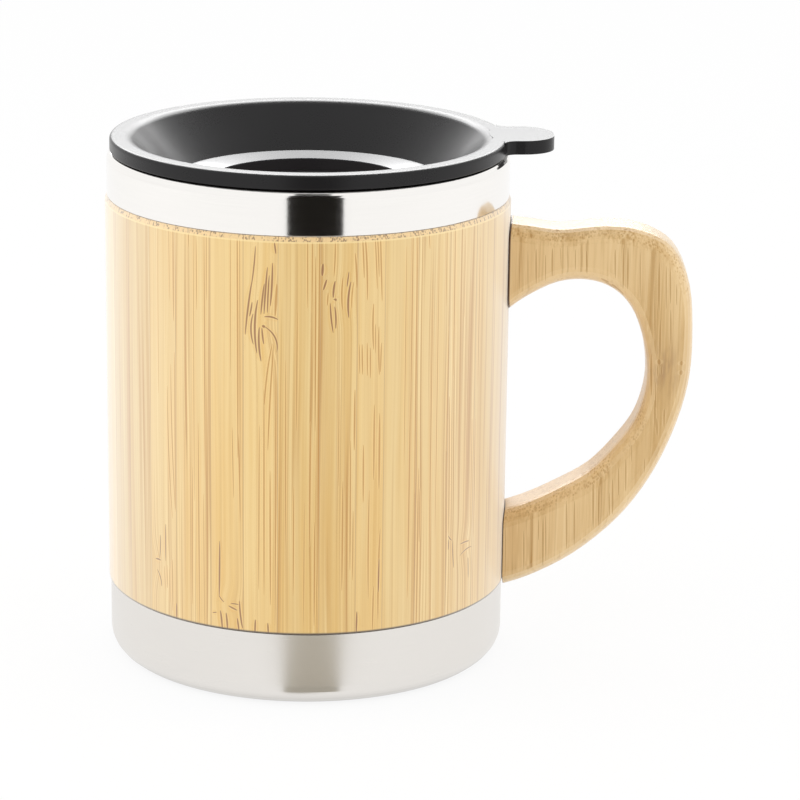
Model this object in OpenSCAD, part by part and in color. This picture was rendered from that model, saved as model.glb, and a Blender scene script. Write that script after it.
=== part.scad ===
// Travel mug: a double steel wall in a sleeve of bamboo staves, with a bamboo handle,
// and a black push-in lid whose drink port is closed by a turning shutter.
// Millimetres. The mug's axis is Z, its foot stands at Z = 0, the handle points to +X
// and the drinker's side is -Y.

/* [Sleeve] */
// Outer diameter of the bamboo sleeve
sleeve_d = 80; // [76:0.5:88]
// Thickness of the bamboo sleeve
sleeve_wall = 3; // [2.6:0.1:3.6]
// Height of the sleeve between the base cup and the collar
sleeve_h = 78.2; // [76:0.2:90]
// Height of the chamfer round the top of the sleeve
sleeve_chamfer = 0.95; // [0.6:0.05:1.4]
// Depth of that chamfer into the sleeve's face
chamfer_depth = 0.4; // [0.2:0.05:0.8]
// Length of the sleeve's lower end that is turned down to fit in the base cup
spigot_h = 4; // [2:0.5:7]
// Angle of the first glue line, from the handle
first_stave_angle = -157.5; // [-160:0.5:-156]

/* [Steel body] */
// Height of the base cup
base_h = 15.1; // [13:0.1:20]
// Thickness of the base cup
base_wall = 0.8; // [0.5:0.1:1.1]
// Step from the bamboo's face in to the base cup
base_inset = 0.35; // [0.1:0.05:0.6]
// Round at the bottom edge of the base cup
base_round = 4.4; // [3:0.1:6]
// Width of the flat ring that the mug stands on
foot_w = 4.5; // [3:0.5:7]
// Rise of the bottom inside the foot ring
foot_rise = 1.2; // [0.6:0.1:2]
// Height of the polished collar
collar_h = 8.5; // [7.6:0.1:12]
// Step from the bamboo's face in to the collar
collar_inset = 0.35; // [0.2:0.05:0.8]
// Round at the shoulder of the collar
collar_round = 1.6; // [0.8:0.1:2.4]
// Thickness of the outer steel wall
shell_wall = 0.5; // [0.4:0.05:0.8]
// Height of the rim of the disc that closes the outer wall
floor_rim_h = 3; // [2:0.5:3.5]
// Air gap between the inner and the outer wall
air_gap = 0.9; // [0.6:0.1:1.3]
// Thickness of the inner cup
cup_wall = 0.5; // [0.4:0.05:0.8]
// Height of the inner cup's floor above the foot
cup_floor_h = 6.7; // [6.5:0.1:10]
// Round at the bottom of the inner cup
cup_round = 8; // [4:0.5:12]

/* [Handle] */
// Reach of the handle out from the sleeve
handle_reach = 36.5; // [32:0.5:42]
// Height of the handle, from its lower to its upper root
handle_h = 74.5; // [70:0.5:76]
// Drop of the handle's lower root below the sleeve's lower edge
handle_drop = 1.3; // [0:0.1:2]
// Thickness across the handle
handle_t = 12; // [9:0.5:15]
// Round along the handle's edges
handle_round = 3.2; // [1.5:0.1:4]
// Diameter of the handle screws
screw_d = 3.4; // [2.8:0.1:3.8]
// Depth of the screws in the handle
screw_bite = 11; // [8:0.5:13]
// Diameter of the screw heads
screw_head_d = 6; // [5:0.1:6.2]
// Height of the screw heads
screw_head_h = 1.3; // [1:0.1:1.5]

/* [Lid] */
// Step from the collar's face in to the lid flange
flange_inset = 0.65; // [0:0.05:0.9]
// Width of the flange, from its edge to where the funnel's slope would meet its top
flange_w = 3.8; // [3:0.1:5]
// Thickness of the flange
flange_t = 2.8; // [2.4:0.1:4]
// Round at the lower edge of the flange and at the end of the skirt
flange_round = 0.3; // [0.2:0.05:0.8]
// Round at the upper edge of the flange
flange_top_round = 0.7; // [0.3:0.1:1.5]
// Round where the flange's top turns down into the funnel
well_round = 2.5; // [1:0.1:3]
// Angle by which the lid sits turned from the handle
lid_turn = 5.2; // [-20:0.1:20]
// Reach of the lift tab out from the flange
tab_reach = 9.4; // [7.5:0.1:14]
// Width of the lift tab
tab_w = 14.7; // [13.5:0.1:18]
// Thickness of the lift tab
tab_t = 2.7; // [2:0.1:2.8]
// Round at the corners of the lift tab
tab_round = 6.4; // [3:0.1:6.7]
// Fillet between the lift tab and the flange
tab_fillet = 2.4; // [1.5:0.1:5]
// Depth of the funnel from the top of the flange to the ring at its bottom
well_depth = 8.7; // [7:0.1:10]
// Outer diameter of the ring at the bottom of the funnel
ring_d = 53; // [46:0.5:54]
// Fall of that ring towards the middle
ring_fall = 0.1; // [0.1:0.1:2]
// Diameter of the recess that holds the shutter
recess_d = 38; // [36:0.5:42]
// Depth of the recess below the ring's inner edge
recess_depth = 4.3; // [4:0.1:5.5]
// Thickness of the lid's walls
lid_wall = 1.5; // [1:0.1:1.8]
// Thickness of the lid's floor under the shutter
floor_t = 1.8; // [1.5:0.1:2.4]
// Length of the skirt that goes into the cup
skirt_h = 7.2; // [6:0.1:9]
// Thickness of the skirt
skirt_wall = 1.6; // [1.3:0.1:2]
// Height of the seal round the skirt
seal_h = 3; // [2:0.1:3.5]
// Depth of the seal's groove
seal_groove = 0.8; // [0.5:0.1:1]

/* [Shutter] */
// Diameter of the drink port
port_d = 7.5; // [6:0.1:8]
// Distance of the drink port from the axis
port_reach = 12.5; // [12:0.1:13]
// Diameter of the air vent
vent_d = 2.4; // [1.5:0.1:3]
// Thickness of the shutter disc
shutter_t = 1.8; // [1.4:0.1:2]
// Angle that the shutter turns from closed to open
shutter_travel = 55; // [50:1:60]
// Length of the grip bar
grip_l = 26; // [16:0.5:30]
// Width of the grip bar
grip_w = 4.2; // [3:0.1:5]
// Height of the grip bar above the disc
grip_h = 1.5; // [1:0.1:2.2]
// Diameter of the shutter's pivot
pivot_d = 5; // [4:0.1:6]
// Diameter of the clip that holds the pivot
clip_d = 11; // [9:0.5:12]
// Thickness of that clip
clip_t = 1.2; // [0.8:0.1:1.6]
// Width of the seal round the drink port
port_seal_w = 1.2; // [0.8:0.1:1.4]
// Thickness of the seal round the drink port
port_seal_t = 1; // [0.7:0.1:1.2]

/* [Fits] */
// Seam that shows between the bamboo and the base cup
base_seam = 0.2; // [0.1:0.05:0.3]
// Seam between the bamboo and the collar
collar_seam = 0.1; // [0.05:0.05:0.2]
// Gap for glue behind the handle's roots
handle_seam = 0.15; // [0.1:0.05:0.3]
// Gap between steel and bamboo, and between fixed parts that seat on each other
seat_gap = 0.1; // [0.05:0.05:0.15]
// Gap round the screws
screw_fit = 0.1; // [0.05:0.05:0.15]
// Gap between the lid and the mug's lip
lid_gap = 0.1; // [0.05:0.05:0.3]
// Gap between the skirt and the cup
skirt_gap = 0.5; // [0.4:0.05:0.8]
// Gap between the skirt's seal and the cup
seal_gap = 0.2; // [0.1:0.05:0.3]
// Gap between the shutter and the lid
shutter_gap = 0.2; // [0.15:0.05:0.3]
// Gap round the shutter's pivot
pivot_gap = 0.1; // [0.05:0.01:0.1]

/* [Hidden] */
$fn = 96;
// Points along a round in a profile
arc_steps = 6;
// Relative widths of the staves, from the first glue line on
stave_width_shares = [
    1.07, 1.03, 1.02, 1.15, 0.97, 0.96, 1.14, 1.01, 0.78, 1.01, 1.11, 1.15,
    1.00, 1.00, 0.85, 1.00, 1.04, 0.90, 1.02, 0.98, 1.06, 0.92, 0.97, 1.03,
    0.94, 1.00, 0.99, 1.05, 0.91, 0.96, 1.02, 0.88, 1.01, 0.97, 1.05, 1.05
];
stave_count = len(stave_width_shares);
// Outer edge of the handle's side view, from the upper to the lower root:
// shares of its reach and of its height
outer_edge_shares = [
    [-0.055, 1.005], [0.096, 0.997], [0.274, 0.988], [0.507, 0.999], [0.712, 0.988],
    [0.882, 0.940], [0.975, 0.839], [1.000, 0.691], [0.984, 0.564], [0.910, 0.432],
    [0.789, 0.303], [0.619, 0.188], [0.384, 0.087], [0.137, 0.020], [-0.055, -0.011]
];
// Inner edge of the handle's side view at the same places
inner_edge_shares = [
    [-0.055, 0.746], [0.082, 0.799], [0.260, 0.843], [0.425, 0.850], [0.562, 0.827],
    [0.663, 0.777], [0.726, 0.702], [0.756, 0.617], [0.748, 0.545], [0.699, 0.468],
    [0.611, 0.403], [0.460, 0.322], [0.274, 0.267], [0.110, 0.228], [-0.055, 0.200]
];
// Height of a screw in its root, from the handle's outer edge: share of the root's seat on the sleeve
screw_seat_share = 0.46;
// Greatest share of the lift tab's width that the round at a corner may take
tab_corner_share = 0.49;
// Steps between two of those places, and along a quarter of the rounded section
handle_steps = 4;
round_steps = 5;

// Heights of the body
sleeve_z0 = base_h + base_seam;
sleeve_z1 = sleeve_z0 + sleeve_h;
collar_z0 = sleeve_z1 + collar_seam;
lip_z = collar_z0 + collar_h;
shell_z0 = foot_rise + base_wall + seat_gap;

// Radii of the body, from the outside in
sleeve_r = sleeve_d / 2;
collar_r = sleeve_r - collar_inset;
base_r = sleeve_r - base_inset;
sleeve_in_r = sleeve_r - sleeve_wall;
shell_r = sleeve_in_r - seat_gap;
cup_out_r = shell_r - shell_wall - air_gap;
cup_r = cup_out_r - cup_wall;
spigot_r = base_r - base_wall - seat_gap;
floor_disc_r = shell_r - shell_wall - seat_gap;
foot_out_r = base_r - base_round;
foot_in_r = foot_out_r - foot_w;

// Handle
handle_z0 = sleeve_z0 - handle_drop;
screw_r = screw_d / 2;
screw_head_r = screw_head_d / 2;
upper_seat = [
    handle_z0 + handle_h * inner_edge_shares[0][1],
    min(handle_z0 + handle_h * outer_edge_shares[0][1], sleeve_z1)
];
lower_seat = [
    max(handle_z0 + handle_h * outer_edge_shares[len(outer_edge_shares) - 1][1], sleeve_z0),
    handle_z0 + handle_h * inner_edge_shares[len(inner_edge_shares) - 1][1]
];
screw_z = [
    lower_seat[0] + screw_seat_share * (lower_seat[1] - lower_seat[0]),
    upper_seat[1] - screw_seat_share * (upper_seat[1] - upper_seat[0])
];
screw_l = sleeve_wall + screw_bite;
screw_tip_share = 0.25;
drive_w = screw_head_d / 8;
drive_l = screw_head_d * 0.6;

// Lid
flange_r = collar_r - flange_inset;
well_r = flange_r - flange_w;
flange_z0 = lip_z + lid_gap;
lid_top = flange_z0 + flange_t;
ring_r = ring_d / 2;
ring_z = lid_top - well_depth;
recess_r = recess_d / 2;
recess_top = ring_z - ring_fall;
floor_z = recess_top - recess_depth;
floor_z0 = floor_z - floor_t;
skirt_r = cup_r - skirt_gap;
skirt_in_r = skirt_r - skirt_wall;
skirt_z0 = flange_z0 - skirt_h;
seal_z0 = flange_z0 - skirt_h / 2 - seal_h / 2;
funnel_slope = (lid_top - ring_z) / (well_r - ring_r);
funnel_drop = lid_wall * sqrt(1 + funnel_slope * funnel_slope);
funnel_angle = atan(funnel_slope);
well_turn = well_round * tan(funnel_angle / 2);
edge_break = flange_round / 2;
tab_corner = min(tab_round, tab_w * tab_corner_share);

// Shutter
shutter_r = recess_r - 2 * shutter_gap;
shutter_z = floor_z + shutter_gap;
shutter_top = shutter_z + shutter_t;
port_r = port_d / 2;
vent_r = vent_d / 2;
pivot_r = pivot_d / 2;
pivot_bore_r = pivot_r + pivot_gap;
port_seal_in_r = port_r + port_seal_w / 3;
port_seal_out_r = port_seal_in_r + port_seal_w;
clip_top = floor_z0 - shutter_gap;
clip_groove = pivot_r / 5;
clip_in_r = pivot_r - clip_groove + pivot_gap / 2;
clip_slot = clip_in_r * 1.5;
pivot_end = clip_top - clip_t - 2 * shutter_gap - clip_groove;
stop_r = port_reach + port_seal_out_r - port_seal_w / 4;
stop_pin_r = port_seal_w / 2;
stop_depth = floor_t / 2;
// The port is on the drinker's side, the vent opposite it, and the stop slot between them
port_angle = -90;
vent_angle = 90;
stop_angle = vent_angle + shutter_travel;

// Overrun of cuts past the faces that they open
over = base_wall;

// Name of one stave
function stave_name(i) = str("stave_", i < 9 ? "0" : "", i + 1);

// Sum of the first n values of a list
function sum_first(values, n) = n <= 0 ? 0 : values[n - 1] + sum_first(values, n - 1);

// Angle of the glue line before stave i
function glue_angle(i) =
    first_stave_angle
    + 360 * sum_first(stave_width_shares, i) / sum_first(stave_width_shares, stave_count);

// Points on an arc about centre, from angle a0 to a1
function arc(centre, r, a0, a1) = [
    for (i = [0:arc_steps])
        let (a = a0 + (a1 - a0) * i / arc_steps)
        centre + r * [cos(a), sin(a)]
];

// Height of the funnel's upper face at radius r
function funnel_z(r) = ring_z + (r - ring_r) * funnel_slope;

// Point between b and c on a smooth curve through a, b, c and d
function curve_point(a, b, c, d, t) =
    (2 * b + (c - a) * t + (2 * a - 5 * b + 4 * c - d) * t * t
    + (3 * b - a - 3 * c + d) * t * t * t) / 2;

// Smooth curve through a list of points, with the given steps between them
function smooth(points, steps) = concat(
    [
        for (i = [0:len(points) - 2], k = [0:steps - 1])
            curve_point(
                points[max(i - 1, 0)], points[i], points[i + 1],
                points[min(i + 2, len(points) - 1)], k / steps
            )
    ],
    [points[len(points) - 1]]
);

// Places of the handle's edges in X and Z
function handle_places(shares) = [
    for (share = shares)
        [sleeve_r + handle_reach * share[0], handle_z0 + handle_h * share[1]]
];

// Rounded rectangle across the handle, with half sizes a and b
function rounded_section(a, b, r) = [
    for (q = [0:3], k = [0:round_steps])
        let (
            turn = 90 * q + 90 * k / round_steps,
            side_a = q == 0 || q == 3 ? 1 : -1,
            side_b = q < 2 ? 1 : -1
        )
        [side_a * (a - r) + r * cos(turn), side_b * (b - r) + r * sin(turn)]
];

// One ring of the handle's surface, between its outer and its inner edge
function handle_ring(outer, inner) =
    let (
        middle = (outer + inner) / 2,
        half = norm(outer - inner) / 2,
        way = (outer - inner) / (2 * half)
    )
    [
        for (p = rounded_section(handle_t / 2, half, handle_round))
            [middle[0] + way[0] * p[1], p[0], middle[1] + way[1] * p[1]]
    ];

// Drawn steel liner, open at the lip
module inner_cup() {
    corner = [cup_r - cup_round, cup_floor_h + cup_round];
    lip_corner = [cup_out_r, lip_z - cup_wall];
    color("lightgray")
        rotate_extrude()
            polygon(concat(
                [[0, cup_floor_h - cup_wall]],
                arc(corner, cup_round + cup_wall, -90, 0),
                arc(lip_corner, cup_wall, 90, 180),
                arc(corner, cup_round, 0, -90),
                [[0, cup_floor_h]]
            ));
}

// Outer steel wall, with the polished collar above the bamboo
module outer_shell() {
    top_in_r = cup_out_r + seat_gap;
    shoulder = [collar_r - collar_round, lip_z - collar_round];
    hem = [collar_r - edge_break, collar_z0 + edge_break];
    tube_in_r = shell_r - shell_wall;
    color("silver")
        rotate_extrude()
            polygon(concat(
                [[top_in_r, lip_z]],
                arc(shoulder, collar_round, 90, 0),
                arc(hem, edge_break, 0, -90),
                [
                    [shell_r, collar_z0],
                    [shell_r, shell_z0],
                    [tube_in_r, shell_z0],
                    [tube_in_r, collar_z0 + shell_wall],
                    [collar_r - shell_wall, collar_z0 + shell_wall]
                ],
                arc(shoulder, collar_round - shell_wall, 0, 90),
                [[top_in_r, lip_z - shell_wall]]
            ));
}

// Disc with a turned-up rim that closes the outer wall
module shell_floor() {
    corner = [floor_disc_r - 2 * shell_wall, shell_z0 + 2 * shell_wall];
    color("darkgray")
        rotate_extrude()
            polygon(concat(
                [[0, shell_z0]],
                arc(corner, 2 * shell_wall, -90, 0),
                [
                    [floor_disc_r, shell_z0 + floor_rim_h],
                    [floor_disc_r - shell_wall, shell_z0 + floor_rim_h]
                ],
                arc(corner, shell_wall, 0, -90),
                [[0, shell_z0 + shell_wall]]
            ));
}

// Cap of satin steel round the foot
module base_cup() {
    corner = [foot_out_r, base_round];
    color("gainsboro")
        rotate_extrude()
            polygon(concat(
                [
                    [0, foot_rise],
                    [foot_in_r - foot_rise, foot_rise],
                    [foot_in_r, 0]
                ],
                arc(corner, base_round, -90, 0),
                arc([base_r - edge_break, base_h - edge_break], edge_break, 0, 90),
                [[base_r - base_wall, base_h]],
                arc(corner, base_round - base_wall, 0, -90),
                [
                    [foot_in_r + base_wall, base_wall],
                    [foot_in_r + base_wall - foot_rise, foot_rise + base_wall],
                    [0, foot_rise + base_wall]
                ]
            ));
}

// Holes for the two screws, with counterbores in the sleeve's inner face
module screw_holes() {
    for (z = screw_z)
        translate([sleeve_in_r, 0, z])
            rotate([0, 90, 0]) {
                translate([0, 0, -over])
                    cylinder(r = screw_head_r + screw_fit, h = screw_head_h + 2 * screw_fit + over);
                cylinder(r = screw_r + screw_fit, h = screw_l + 3 * screw_fit);
            }
}

// One bamboo stave of the sleeve
module stave(i) {
    color(i % 3 == 0 ? "burlywood" : i % 3 == 1 ? "wheat" : "tan")
        difference() {
            rotate([0, 0, glue_angle(i)])
                rotate_extrude(angle = glue_angle(i + 1) - glue_angle(i))
                    polygon([
                        [sleeve_in_r, sleeve_z0 - spigot_h],
                        [spigot_r, sleeve_z0 - spigot_h],
                        [spigot_r, sleeve_z0],
                        [sleeve_r, sleeve_z0],
                        [sleeve_r, sleeve_z1 - sleeve_chamfer],
                        [sleeve_r - chamfer_depth, sleeve_z1],
                        [sleeve_in_r, sleeve_z1]
                    ]);
            screw_holes();
        }
}

// Handle before it is fitted to the sleeve
module handle_blank() {
    outer = smooth(handle_places(outer_edge_shares), handle_steps);
    inner = smooth(handle_places(inner_edge_shares), handle_steps);
    rings = len(outer);
    count = 4 * (round_steps + 1);
    points = [for (k = [0:rings - 1]) each handle_ring(outer[k], inner[k])];
    sides = [
        for (k = [0:rings - 2], j = [0:count - 1])
            let (
                here = k * count + j,
                next = k * count + (j + 1) % count
            )
            each [[here, here + count, next + count], [here, next + count, next]]
    ];
    caps = [
        [for (j = [0:count - 1]) j],
        [for (j = [0:count - 1]) (rings - 1) * count + count - 1 - j]
    ];
    polyhedron(points = points, faces = concat(sides, caps));
}

// Bamboo handle, hollowed at its roots to sit on the sleeve, with pilot holes for its screws
module handle() {
    color("burlywood")
        difference() {
            handle_blank();
            translate([0, 0, handle_z0 - handle_drop - over])
                cylinder(r = sleeve_r + handle_seam, h = handle_h + 4 * (handle_drop + over), $fn = 180);
            screw_holes();
        }
}

// Handle screw, set from inside the sleeve
module handle_screw(z) {
    color("dimgray")
        translate([sleeve_in_r + screw_fit, 0, z])
            rotate([0, 90, 0])
                difference() {
                    union() {
                        cylinder(r = screw_head_r, h = screw_head_h);
                        cylinder(r = screw_r, h = screw_l - screw_d);
                        translate([0, 0, screw_l - screw_d])
                            cylinder(r1 = screw_r, r2 = screw_r * screw_tip_share, h = screw_d);
                    }
                    for (turn = [0, 90])
                        rotate([0, 0, turn])
                            cube([drive_l, drive_w, screw_head_h], center = true);
                }
}

// Half section of the lid, without its tab
module lid_section() {
    funnel_out_r = skirt_in_r + edge_break;
    // Flange, and the skirt with the groove of its seal
    polygon(concat(
        [
            [skirt_in_r, skirt_z0],
            [skirt_r - flange_round, skirt_z0],
            [skirt_r, skirt_z0 + flange_round],
            [skirt_r, seal_z0],
            [skirt_r - seal_groove, seal_z0],
            [skirt_r - seal_groove, seal_z0 + seal_h],
            [skirt_r, seal_z0 + seal_h],
            [skirt_r, flange_z0]
        ],
        arc([flange_r - flange_round, flange_z0 + flange_round], flange_round, -90, 0),
        arc([flange_r - flange_top_round, lid_top - flange_top_round], flange_top_round, 0, 90),
        arc([well_r + well_turn, lid_top - well_round], well_round, 90, 90 + funnel_angle),
        [[skirt_in_r, funnel_z(skirt_in_r)]]
    ));
    // Funnel
    polygon([
        [funnel_out_r, funnel_z(funnel_out_r)],
        [ring_r, ring_z],
        [ring_r, ring_z - funnel_drop],
        [funnel_out_r, funnel_z(funnel_out_r) - funnel_drop]
    ]);
    // Ring at the bottom of the funnel, and the wall of the recess
    polygon([
        [ring_r, ring_z],
        [recess_r + edge_break, recess_top],
        [recess_r, recess_top - edge_break],
        [recess_r, floor_z0],
        [recess_r + lid_wall, floor_z0],
        [recess_r + lid_wall, recess_top - lid_wall],
        [ring_r, ring_z - funnel_drop]
    ]);
    // Floor under the shutter
    translate([pivot_bore_r, floor_z0])
        square([recess_r + lid_wall - pivot_bore_r, floor_t]);
}

// Outline of the lift tab and its fillets
module tab_outline() {
    tip = flange_r + tab_reach;
    half = tab_w / 2;
    root = flange_r - flange_w / 2;
    fillet_y = half + tab_fillet;
    fillet_x = sqrt(pow(flange_r + tab_fillet, 2) - pow(fillet_y, 2));
    touch = flange_r / (flange_r + tab_fillet);
    translate([root, -half])
        square([tip - tab_corner - root, tab_w]);
    translate([root, tab_corner - half])
        square([tip - root, tab_w - 2 * tab_corner]);
    for (side = [-1, 1]) {
        translate([tip - tab_corner, side * (half - tab_corner)])
            circle(r = tab_corner);
        difference() {
            polygon([
                [root, 0],
                [fillet_x, 0],
                [fillet_x, side * fillet_y],
                [fillet_x * touch, side * fillet_y * touch]
            ]);
            translate([fillet_x, side * fillet_y])
                circle(r = tab_fillet);
        }
    }
}

// Puts a child at a distance from the axis and at an angle round it
module around(angle, reach) {
    rotate([0, 0, angle])
        translate([reach, 0, 0])
            children();
}

// Black lid: flange and lift tab, funnel, recess with the drink port, and skirt
module lid_body() {
    color("#262626")
        difference() {
            union() {
                rotate_extrude()
                    lid_section();
                rotate([0, 0, lid_turn])
                    translate([0, 0, lid_top - tab_t])
                        linear_extrude(tab_t)
                            tab_outline();
            }
            around(port_angle, port_reach)
                translate([0, 0, floor_z0 - over])
                    cylinder(r = port_r, h = floor_t + 2 * over);
            around(port_angle, port_reach)
                translate([0, 0, floor_z - port_seal_t])
                    difference() {
                        cylinder(r = port_seal_out_r + seat_gap, h = port_seal_t + over);
                        translate([0, 0, -over])
                            cylinder(r = port_seal_in_r - seat_gap, h = port_seal_t + 3 * over);
                    }
            around(vent_angle, port_reach)
                translate([0, 0, floor_z0 - over])
                    cylinder(r = vent_r, h = floor_t + 2 * over);
            stop_slot();
        }
}

// Slot in the lid's floor for the stop pin
module stop_slot() {
    slot_r = stop_pin_r + shutter_gap;
    end_angle = asin(slot_r / stop_r);
    rotate([0, 0, stop_angle - end_angle])
        translate([0, 0, floor_z - stop_depth])
            rotate_extrude(angle = shutter_travel + 2 * end_angle)
                translate([stop_r - slot_r, 0])
                    square([2 * slot_r, stop_depth + over]);
}

// Silicone seal round the skirt, with two ribs that press on the cup
module lid_seal() {
    in_r = skirt_r - seal_groove + seat_gap;
    out_r = cup_r - seal_gap;
    z0 = seal_z0 + seat_gap;
    h = seal_h - 2 * seat_gap;
    color("whitesmoke")
        rotate_extrude()
            polygon([
                [in_r, z0],
                [skirt_r, z0],
                [out_r, z0 + h / 5],
                [skirt_r, z0 + h * 2 / 5],
                [skirt_r, z0 + h * 3 / 5],
                [out_r, z0 + h * 4 / 5],
                [skirt_r, z0 + h],
                [in_r, z0 + h]
            ]);
}

// Silicone seal round the drink port, under the shutter
module port_seal() {
    color("whitesmoke")
        around(port_angle, port_reach)
            translate([0, 0, floor_z - port_seal_t])
                difference() {
                    cylinder(r = port_seal_out_r, h = port_seal_t + shutter_gap / 2);
                    translate([0, 0, -over])
                        cylinder(r = port_seal_in_r, h = port_seal_t + 2 * over);
                }
}

// Grip bar across the shutter, from the middle of the disc up
module grip_bar() {
    straight = grip_l - grip_w;
    linear_extrude(shutter_t / 2 + grip_h) {
        square([straight, grip_w], center = true);
        for (side = [-1, 1])
            translate([side * straight / 2, 0])
                circle(r = grip_w / 2);
    }
}

// Turning disc, closed at rest, with its grip bar, pivot and stop pin
module shutter_disc() {
    color("#1c1c1c")
        difference() {
            union() {
                rotate_extrude()
                    polygon([
                        [0, shutter_z],
                        [shutter_r, shutter_z],
                        [shutter_r, shutter_top - edge_break],
                        [shutter_r - edge_break, shutter_top],
                        [0, shutter_top]
                    ]);
                translate([0, 0, shutter_z + shutter_t / 2])
                    grip_bar();
                translate([0, 0, pivot_end])
                    cylinder(r = pivot_r, h = shutter_z - pivot_end + shutter_t / 2);
                around(stop_angle, stop_r)
                    translate([0, 0, shutter_z - stop_depth])
                        cylinder(r = stop_pin_r, h = stop_depth + shutter_t / 2);
            }
            around(port_angle - shutter_travel, port_reach)
                translate([0, 0, shutter_z - over])
                    cylinder(r = port_r, h = shutter_t + 2 * over);
            around(vent_angle - shutter_travel, port_reach)
                translate([0, 0, shutter_z - over])
                    cylinder(r = vent_r, h = shutter_t + 2 * over);
            translate([0, 0, clip_top - clip_t - shutter_gap / 2])
                difference() {
                    cylinder(r = pivot_r + over, h = clip_t + shutter_gap);
                    translate([0, 0, -over])
                        cylinder(r = pivot_r - clip_groove, h = clip_t + shutter_gap + 2 * over);
                }
        }
}

// Open clip that holds the pivot under the lid's floor
module shutter_clip() {
    color("gray")
        translate([0, 0, clip_top - clip_t])
            difference() {
                cylinder(r = clip_d / 2, h = clip_t);
                translate([0, 0, -over])
                    cylinder(r = clip_in_r, h = clip_t + 2 * over);
                translate([0, -clip_slot / 2, -over])
                    cube([clip_d, clip_slot, clip_t + 2 * over]);
            }
}

inner_cup();
outer_shell();
shell_floor();
base_cup();
for (i = [0:stave_count - 1])
    stave(i);
handle();
handle_screw(screw_z[1]);  // handle_screw_upper
handle_screw(screw_z[0]);  // handle_screw_lower
lid_body();
lid_seal();
port_seal();
shutter_disc();
shutter_clip();
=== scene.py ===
import math
import random

import bpy
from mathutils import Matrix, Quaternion, Vector


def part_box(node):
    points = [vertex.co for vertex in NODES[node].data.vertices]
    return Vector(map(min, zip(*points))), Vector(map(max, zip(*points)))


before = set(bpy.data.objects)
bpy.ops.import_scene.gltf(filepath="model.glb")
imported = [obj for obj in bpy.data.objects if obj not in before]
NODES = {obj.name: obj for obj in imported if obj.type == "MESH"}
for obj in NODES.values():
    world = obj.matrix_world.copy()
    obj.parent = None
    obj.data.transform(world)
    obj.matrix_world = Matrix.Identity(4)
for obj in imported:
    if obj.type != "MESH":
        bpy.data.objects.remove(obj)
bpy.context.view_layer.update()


# Lengths in the materials are in millimetres, and the frame is in metres
MM = 0.001
PER_METRE = 1000.0

STAVES = sorted(name for name in NODES if name.startswith("stave_"))

# The sleeve: its radius, its upper and lower end, and the rim where its face ends under the chamfer
SLEEVE_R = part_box("stave_16")[1].x / MM
SLEEVE_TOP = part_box("stave_01")[1].z / MM
SLEEVE_FOOT = 15.3
CHAMFER = 0.95
SLEEVE_RIM = SLEEVE_TOP - CHAMFER


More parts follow.
